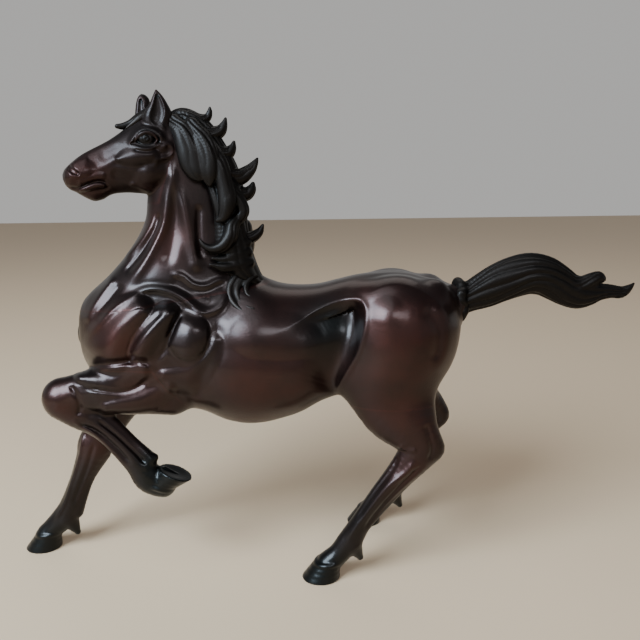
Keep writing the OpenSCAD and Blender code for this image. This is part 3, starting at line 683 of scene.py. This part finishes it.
CURL = [
    (3, 0.3, 0.05, [(-38, -9.9, 184.4, 1.85, 1.85), (-43.4, -14.5, 181, 2.24, 2.02),
                    (-47, -17.9, 175.4, 2.24, 2.02), (-46.8, -21.5, 169.8, 2.17, 1.85),
                    (-43, -25.5, 165, 1.85, 1.7), (-37, -28.9, 161.6, 1.24, 1.16),
                    (-32.6, -30.5, 160, 0.54, 0.54)]),
    (3, 0.3, 0.05, [(-36, -10.5, 182.4, 1.4, 1.4), (-40.6, -14.9, 178.6, 1.63, 1.55),
                    (-43, -18.5, 173.8, 1.63, 1.55), (-41.6, -22.5, 168.6, 1.47, 1.4),
                    (-37.4, -26.5, 165.4, 1.01, 0.93), (-33, -28.5, 164.4, 0.47, 0.47)]),
    (3, 0.3, 0.05, [(-30.4, -10.9, 180, 0.77, 0.77), (-34.6, -13.5, 179.6, 1.31, 1.24),
                    (-38, -16.9, 176, 1.47, 1.4), (-37.6, -20.5, 171.6, 1.24, 1.16),
                    (-34, -23.3, 169, 0.62, 0.62)]),
]
# in the head's own frame
FORELOCK = [
    (4, 0.3, 0.05, [(3, 0, 270.6, 3.4, 4.6), (10, 0.4, 271.4, 3.2, 4.6), (16, 0.8, 268.6, 3.0, 4.0),
                    (21, 1, 265.6, 2.4, 3.0), (25.4, 1, 264.3, 1.9, 2.2), (28.6, 1, 264.3, 1.3, 1.5)]),
    (3, 0.3, 0.05, [(9, -4, 271, 2.6, 2.6), (15, -4.6, 269, 2.2, 2.2), (20, -4.2, 265.6, 1.6, 1.6),
                    (23.6, -3.6, 263.2, 0.8, 0.8)]),
]


def strands(P, locks, k=0.7):
    """Locks of hair, joined with a fillet of k."""
    d = None
    for count, depth, twist, rows in locks:
        reach = max(r[3] for r in rows) + 5
        lo = np.min([r[:3] for r in rows], 0) - reach
        hi = np.max([r[:3] for r in rows], 0) + reach
        inside = np.all((P > lo) & (P < hi), 1)
        one = np.full(len(P), 5.0, np.float32)
        if inside.any():
            one[inside] = tube(P[inside], rows, 6, (count, depth, twist))
        d = one if d is None else smin(d, one, k)
    return d


def mane(P):
    d = tube(P, CREST, 6, (11, 0.7, 0.02))
    return smin(d, strands(P, LOCKS), 1.2)


def tail(P):
    d = tube(P, TAIL, 4, (13, 0.95, 0.02))
    d = smin(d, tube(P, TAIL_TUFT, 3, (7, 0.6, 0.05)), 1.2)
    # ragged collar where it is let into the rump
    x, y, z = P.T
    a = np.arctan2(z - 161.5, y)
    lump = 1.0 + 0.07 * np.sin(5 * a + 1.0) + 0.03 * np.sin(11 * a)
    r = np.hypot(y * 1.05, (z - 161.6) * 0.86) / lump
    ring = np.hypot(r - 8.6, (x - 86.6) * 0.9 - 0.8 * np.sin(4 * a)) - 3.0
    return smin(d, ring, 1.2)


# ---------------------------------------------------------------- where the castings meet
def plane(P, point, normal):
    """Distance in front of a plane."""
    n = np.asarray(normal, np.float32)
    n = n / np.linalg.norm(n)
    return (P - np.asarray(point, np.float32)) @ n


def cube(P, lo, hi):
    """Distance outside a box."""
    return np.max(np.concatenate([np.asarray(lo, np.float32) - P, P - np.asarray(hi, np.float32)], 1), 1)


# Below zero where the casting is: above the neck's joint, before the head's, in a leg's block
def above_neck(P):
    return -plane(P, (-80, 0, 168), (-math.sin(math.radians(7.4)), 0, math.cos(math.radians(7.4))))


def before_head(P):
    a, b = math.radians(17), TURN
    n = (math.cos(a) * math.cos(b), math.cos(a) * math.sin(b), -math.sin(a))
    return np.maximum(plane(P, (-82, 0, 246), n), 222 - P[:, 2])


def left_fore_block(P):
    slope = math.radians(33.7)
    d = plane(P, (-92.3, 0, 133.2), (math.cos(slope), 0, math.sin(slope)))
    return np.maximum(np.maximum(d, P[:, 1] + 5), P[:, 2] - 131)


def right_fore_block(P):
    return np.minimum(cube(P, (-200, 3, 80), (-90, 63, 104)), cube(P, (-200, -4, -9), (-90, 63, 84)))


def left_hind_block(P):
    return np.minimum(cube(P, (18, -60, 80), (110, -1, 106)), cube(P, (-20, -60, -9), (110, -1, 85)))


def right_hind_block(P):
    return np.minimum(cube(P, (18, 1, 80), (110, 60, 106)), cube(P, (0, 1, -9), (110, 60, 85)))


# ---------------------------------------------------------------- from field to mesh
def spread(field, points):
    """Works the field out in blocks, four at a time."""
    parts = [points[i : i + BLOCK] for i in range(0, len(points), BLOCK)]
    with ThreadPoolExecutor(4) as crew:
        return np.concatenate(list(crew.map(field, parts)))


def sample(field, lo, hi, step):
    """Field values on a grid, worked out in full only in the blocks near the surface."""
    n, far = 4, 9.0
    lo = np.asarray(lo, float)
    blocks = np.ceil((np.asarray(hi, float) - lo) / (step * n)).astype(int) + 1
    axes = [lo[i] + step * n * (np.arange(blocks[i]) + 0.375) for i in range(3)]
    C = np.stack(np.meshgrid(*axes, indexing="ij"), -1).reshape(-1, 3).astype(np.float32)
    coarse = spread(field, C).reshape(blocks)
    close = np.abs(coarse) < step * n * 1.25
    for axis in range(3):
        flip = np.sign(coarse) != np.sign(np.roll(coarse, 1, axis))
        close |= flip | np.roll(flip, -1, axis)
    grown = close.copy()
    for axis in range(3):
        grown |= np.roll(close, 1, axis) | np.roll(close, -1, axis)
    grid = np.where(coarse < 0, -far, far).astype(np.float32)
    for axis in range(3):
        grid = np.repeat(grid, n, axis)
    spots = np.argwhere(grown)
    offs = np.stack(np.meshgrid(*[np.arange(n)] * 3, indexing="ij"), -1).reshape(-1, 3)
    ijk = (spots[:, None, :] * n + offs[None]).reshape(-1, 3)
    grid[ijk[:, 0], ijk[:, 1], ijk[:, 2]] = spread(field, (lo + ijk * step).astype(np.float32))
    for side in (0, -1):
        grid[side], grid[:, side], grid[:, :, side] = far, far, far
    return lo, grid


def relax(pts, quads, tris, rounds):
    """Takes the grain of the grid out of the surface without shrinking it."""
    e = [quads[:, [i, (i + 1) % 4]] for i in range(4)] + [tris[:, [i, (i + 1) % 3]] for i in range(3)]
    e = np.concatenate(e)
    a, b = np.concatenate([e[:, 0], e[:, 1]]), np.concatenate([e[:, 1], e[:, 0]])
    n = len(pts)
    count = np.maximum(np.bincount(a, minlength=n), 1)
    pts = pts.astype(np.float64)
    for k in (0.5, -0.52) * rounds:
        mean = np.stack([np.bincount(a, pts[b, i], minlength=n) / count for i in range(3)], 1)
        pts = pts + k * (mean - pts)
    return pts.astype(np.float32)


def cast(name, field, lo, hi, step, nodes, wear_and_highlight):
    """Meshes one piece, measures its hollows for the patina and its edges for a painted highlight, and puts
    it in the frame.
    """
    step = step * 1.0
    origin, grid = sample(field, lo, hi, step)
    g = vdb.FloatGrid(9.0)
    g.copyFromArray(grid)
    pts, tris, quads = g.convertToPolygons(0.0, 0.0)
    pts = pts.astype(np.float32) * step + origin.astype(np.float32)
    pts = relax(pts, quads, tris, 3)
    faces = quads.tolist() + tris.tolist()
    mesh = bpy.data.meshes.new(name)
    mesh.from_pydata(((pts + MIDDLE) * 0.001).tolist(), [], faces)
    mesh.update()
    normals = np.empty(len(pts) * 3, np.float32)
    mesh.vertices.foreach_get("normal", normals)
    normals = normals.reshape(-1, 3)
    hollow = np.clip((REACH - spread(field, pts + normals * REACH)) / REACH, 0, 1)
    hollow = np.maximum(hollow, 0.7 * black(pts))
    # painted highlight: how sharply the surface rounds over here, so ridges and edges get the lighter
    # rubbed colour
    edge = np.clip((REACH + spread(field, pts - normals * REACH)) / REACH, 0, 1)
    # tone holds the patina of the hollows, the edges for the painted highlight, and the rubbed spots
    tone = np.stack([hollow, edge, wear_and_highlight(pts), np.ones(len(pts))], 1).astype(np.float32)
    mesh.color_attributes.new("tone", "FLOAT_COLOR", "POINT").data.foreach_set("color", tone.ravel())
    mesh.shade_smooth()
    o = bpy.data.objects.new("cast_" + name, mesh)
    bpy.context.collection.objects.link(o)
    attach(o, "root")
    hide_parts(*nodes)
    return o


# Spots in side view: (x, z), radius, strength
RUBBED = [
    ((50, 148), 34, 0.95), ((-30, 112), 40, 0.75), ((20, 176), 26, 0.6), ((-112, 150), 20, 0.8),
    ((-146, 112), 13, 0.95), ((-60, 128), 22, 0.4), ((50, 104), 26, 0.8), ((-128, 238), 16, 0.8),
    ((-85, 205), 20, 0.6), ((-84, 238), 16, 0.35), ((-140, 76), 18, 0.6), ((55, 66), 16, 0.6),
    ((-96, 118), 24, 0.5), ((-10, 168), 22, 0.55),
]
DARK = [
    ((10, 154), 19, 0.95), ((-6, 158), 12, 0.6), ((-58, 138), 13, 0.4), ((-88, 176), 10, 0.5),
    ((-90, 257), 7, 0.8), ((-84, 270), 7, 0.8), ((-87, 243), 11, 0.45),
]


def spot(pts, centre, radius, strength):
    """A soft round spot in side view, the same on both flanks."""
    dx, dz = pts[:, 0] - centre[0], pts[:, 2] - centre[1]
    return strength * np.exp(-((dx * dx + dz * dz) / (radius * radius)))


def worn(pts):
    """Where handling has rubbed the patina to red-brown."""
    v = np.zeros(len(pts), np.float32)
    for row in RUBBED:
        v = np.maximum(v, spot(pts, *row))
    return v


def black(pts):
    """The shanks and hooves, and the hollows of flank, elbow, eye and cheek: almost black."""
    x, y, z = pts.T
    shank = 1.0 - 0.7 * ramp(z, 8.0, 26.0) - 0.3 * ramp(z, 26.0, 70.0)
    raised = ramp(x, -112.0, -96.0) * (1.0 - ramp(z, 72.0, 86.0)) * (y < -8) * (x < -40)
    v = np.maximum(shank, raised)
    for row in DARK:
        v = np.maximum(v, spot(pts, *row) * ramp(np.abs(y), 8.0, 18.0))
    return v


def unworn(pts):
    return np.zeros(len(pts), np.float32)


# ---------------------------------------------------------------- the pieces
def part_of(*blocks):
    """The animal where all the blocks allow it, plus the lap."""
    return lambda P: np.max([flesh(P)] + [block(P) - LAP for block in blocks], 0)


def other(block):
    """The far side of a joint."""
    return lambda P: -block(P)


def rooted(field):
    """Hair, down to where it sinks into the skin."""
    return lambda P: np.maximum(field(P), -flesh(P) - HAIR_SINK)


BODY_END = 88.5 - LAP
TAIL_START = 82
# Node, piece, field, box, grid step
FLESHY = [
    ("torso_shell", "body", part_of(
        other(above_neck), other(left_fore_block), other(right_fore_block), other(left_hind_block),
        other(right_hind_block), lambda P: P[:, 0] - BODY_END), (-143, -42, 84), (93, 42, 186), 0.72),
    ("neck_shell", "neck", part_of(above_neck, other(before_head)), (-138, -36, 156), (-20, 36, 276), 0.62),
    ("head", "head", part_of(before_head), (-143, -36, 219), (-68, 22, 286), 0.36),
    ("left_foreleg", "left_foreleg", part_of(left_fore_block), (-162, -42, 44), (-64, -2, 134), 0.5),
    ("right_foreleg", "right_foreleg", part_of(right_fore_block), (-195, -7, -3), (-88, 36, 107), 0.5),
    ("left_hind_leg", "left_hind_leg", part_of(left_hind_block), (-14, -46, -3), (84, 2, 109), 0.5),
    ("right_hind_leg", "right_hind_leg", part_of(right_hind_block), (14, -2, -3), (96, 54, 109), 0.5),
]
HAIRY = [
    ("tail", "tail", lambda P: np.maximum(tail(P), TAIL_START - P[:, 0]),
     (79, -20, 144), (194, 20, 194), 0.45),
    ("mane_crest", "mane", rooted(mane), (-84, -34, 166), (-16, 30, 282), 0.44),
    ("mane_locks", "flying_locks", rooted(lambda P: strands(P, FLYING)),
     (-76, -16, 192), (-24, 8, 278), 0.36),
    ("shoulder_lock", "shoulder_lock", rooted(lambda P: strands(P, CURL, 2.4)),
     (-52, -42, 156), (-22, -14, 192), 0.36),
    ("forelock", "forelock", rooted(lambda P: strands(to_head(P), FORELOCK)),
     (-116, -20, 256), (-72, 14, 284), 0.34),
]
pieces = {}
for rows, slot, wear_and_highlight in ((FLESHY, "bronze_body", worn), (HAIRY, "bronze_hair", unworn)):
    for node, name, field, lo, hi, step in rows:
        pieces[node] = cast(name, field, lo, hi, step, [node], wear_and_highlight)


# ---------------------------------------------------------------- materials
def shader(name, metallic, coat, coat_rough):
    m = bpy.data.materials.new(name)
    m.use_nodes = True
    nt = m.node_tree
    bsdf = nt.nodes["Principled BSDF"]
    bsdf.inputs["Metallic"].default_value = metallic
    bsdf.inputs["Specular IOR Level"].default_value = 0.3
    bsdf.inputs["Coat Weight"].default_value = coat
    bsdf.inputs["Coat Roughness"].default_value = coat_rough
    return m, nt, bsdf


def mix(nt, a, b, factor):
    """A colour between a and b, each a colour or a socket."""
    n = nt.nodes.new("ShaderNodeMix")
    n.data_type = "RGBA"
    for socket, v in ((n.inputs[6], a), (n.inputs[7], b)):
        if isinstance(v, tuple):
            socket.default_value = (*v, 1.0)
        else:
            nt.links.new(v, socket)
    nt.links.new(factor, n.inputs[0])
    return n.outputs[2]


def maths(nt, op, a, b, clamp=False):
    """One sum on two numbers or sockets."""
    n = nt.nodes.new("ShaderNodeMath")
    n.operation = op
    n.use_clamp = clamp
    for socket, v in ((n.inputs[0], a), (n.inputs[1], b)):
        if isinstance(v, (int, float)):
            socket.default_value = v
        else:
            nt.links.new(v, socket)
    return n.outputs[0]


def noise(nt, scale, detail):
    n = nt.nodes.new("ShaderNodeTexNoise")
    n.inputs["Scale"].default_value = scale
    n.inputs["Detail"].default_value = detail
    return n


def patina(name, deep, plain, rubbed, rough, coat):
    """Cast bronze: dark in the hollows, rubbed on the rounds, with a painted highlight of the rubbed colour
    along ridges and edges, waxed over.
    """
    m, nt, bsdf = shader(name, 0.85, coat, 0.20)
    tone = nt.nodes.new("ShaderNodeAttribute")
    tone.attribute_name = "tone"
    split = nt.nodes.new("ShaderNodeSeparateColor")
    nt.links.new(tone.outputs["Color"], split.inputs[0])
    hollow, edge, wear_and_highlight = split.outputs[0], split.outputs[1], split.outputs[2]
    where = nt.nodes.new("ShaderNodeTexCoord")
    cloud, grain = noise(nt, 42.0, 4.0), noise(nt, 900.0, 3.0)
    for texture in (cloud, grain):
        nt.links.new(where.outputs["Object"], texture.inputs["Vector"])
    patchy = maths(nt, "MULTIPLY", maths(nt, "SUBTRACT", cloud.outputs["Fac"], 0.32), 2.2, True)
    wear_and_highlight = maths(nt, "MULTIPLY", wear_and_highlight, maths(nt, "ADD", patchy, 0.45), True)
    # painted highlight: ridges and edges take the lighter rubbed colour as well as the rubbed spots
    wear_and_highlight = maths(nt, "ADD", wear_and_highlight, maths(nt, "MULTIPLY", edge, 0.55), True)
    colour = mix(nt, plain, rubbed, wear_and_highlight)
    low = maths(nt, "MULTIPLY", hollow, 1.5, True)
    colour = mix(nt, colour, deep, low)
    nt.links.new(colour, bsdf.inputs["Base Color"])
    r = maths(nt, "ADD", rough, maths(nt, "MULTIPLY", patchy, 0.10))
    r = maths(nt, "ADD", r, maths(nt, "MULTIPLY", low, 0.05), True)
    nt.links.new(r, bsdf.inputs["Roughness"])
    bump = nt.nodes.new("ShaderNodeBump")
    bump.inputs["Strength"].default_value = 0.28
    bump.inputs["Distance"].default_value = 0.00025
    nt.links.new(grain.outputs["Fac"], bump.inputs["Height"])
    nt.links.new(bump.outputs["Normal"], bsdf.inputs["Normal"])
    return m


def machined(name):
    """Bare bronze, for the pins, dowels and plugs."""
    m, nt, bsdf = shader(name, 1.0, 0.0, 0.1)
    fac = noise(nt, 300.0, 2.0).outputs["Fac"]
    nt.links.new(mix(nt, (0.40, 0.24, 0.10), (0.52, 0.34, 0.16), fac), bsdf.inputs["Base Color"])
    nt.links.new(maths(nt, "ADD", 0.25, maths(nt, "MULTIPLY", fac, 0.2)), bsdf.inputs["Roughness"])
    return m


BROWN = patina(
    "patina_brown", (0.0048, 0.0056, 0.0052), (0.0160, 0.0104, 0.0094), (0.048, 0.0158, 0.0124), 0.31, 0.29)
BLACK = patina(
    "patina_black", (0.0040, 0.0040, 0.0036), (0.0084, 0.0066, 0.0055), (0.018, 0.0128, 0.0100), 0.45, 0.07)
DULL = patina(
    "patina_face", (0.0046, 0.0048, 0.0044), (0.0135, 0.0090, 0.0080), (0.040, 0.0134, 0.0106), 0.40, 0.13)
RAW = machined("machined_bronze")
hairy = [row[0] for row in HAIRY]
for node, o in pieces.items():
    o.data.materials.append(BLACK if node in hairy else DULL if node == "head" else BROWN)
for node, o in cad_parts.items():
    if node not in pieces:
        o.data.materials.clear()
        o.data.materials.append(RAW)

# ---------------------------------------------------------------- stage, light and camera
floor_mesh = bpy.data.meshes.new("floor")
floor_mesh.from_pydata([(-3, -3, 0), (3, -3, 0), (3, 3, 0), (-3, 3, 0)], [], [(0, 1, 2, 3)])
floor = bpy.data.objects.new("floor", floor_mesh)
bpy.context.collection.objects.link(floor)
pale = bpy.data.materials.new("floor")
pale.use_nodes = True
pale_bsdf = pale.node_tree.nodes["Principled BSDF"]
pale_bsdf.inputs["Base Color"].default_value = (0.54, 0.39, 0.25, 1)
pale_bsdf.inputs["Roughness"].default_value = 0.55
floor_mesh.materials.append(pale)


def light(name, where, at, size, power, colour):
    """A rectangular lamp at 'where', looking at 'at'."""
    data = bpy.data.lights.new(name, "AREA")
    data.shape = "RECTANGLE"
    data.size, data.size_y = size
    data.energy = power
    data.color = colour
    o = bpy.data.objects.new(name, data)
    o.location = where
    o.rotation_euler = (Vector(at) - Vector(where)).to_track_quat("-Z", "Y").to_euler()
    bpy.context.collection.objects.link(o)


light("window", (-0.8, -0.8, 0.9), (-0.02, 0, 0.13), (0.75, 0.8), 52, (0.66, 0.83, 1.0))
sun = bpy.data.lights.new("sky", "SUN")
sun.energy = 1.2
sun.angle = 0.9
sun.color = (0.90, 0.95, 1.0)
sky = bpy.data.objects.new("sky", sun)
sky.rotation_euler = Vector((0.55, 0.6, -1.0)).to_track_quat("-Z", "Y").to_euler()
bpy.context.collection.objects.link(sky)
light("room", (0.35, -1.2, 1.0), (0, 0, 0.12), (0.6, 0.4), 7, (0.86, 0.92, 1.0))
light("back", (0.1, 0.9, 1.3), (0, 0.05, 0.1), (1.4, 0.6), 4, (1.0, 0.97, 0.92))
world = bpy.data.worlds.new("world")
world.use_nodes = True
# pale round the horizon, dim overhead
nt = world.node_tree
where = nt.nodes.new("ShaderNodeTexCoord")
xyz = nt.nodes.new("ShaderNodeSeparateXYZ")
nt.links.new(where.outputs["Generated"], xyz.inputs[0])
height = maths(nt, "MULTIPLY", maths(nt, "SUBTRACT", xyz.outputs["Z"], 0.24), 3.0, True)
nt.links.new(mix(nt, (0.80, 0.79, 0.77), (0.16, 0.17, 0.19), height), nt.nodes["Background"].inputs[0])
nt.nodes["Background"].inputs[1].default_value = 0.58
bpy.context.scene.world = world

# From the statue's left side, 240 mm up, looking 12 degrees down
cam_data = bpy.data.cameras.new("camera")
cam_data.sensor_width = 36.0
cam_data.lens = 39.4
cam = bpy.data.objects.new("camera", cam_data)
cam.matrix_world = (
    Matrix.Translation((0.004, -0.4139, 0.240))
    @ Matrix.Rotation(math.radians(90 - 12.2), 4, "X")
    @ Matrix.Rotation(-0.0127, 4, "Z")
)
bpy.context.collection.objects.link(cam)
bpy.context.scene.camera = cam
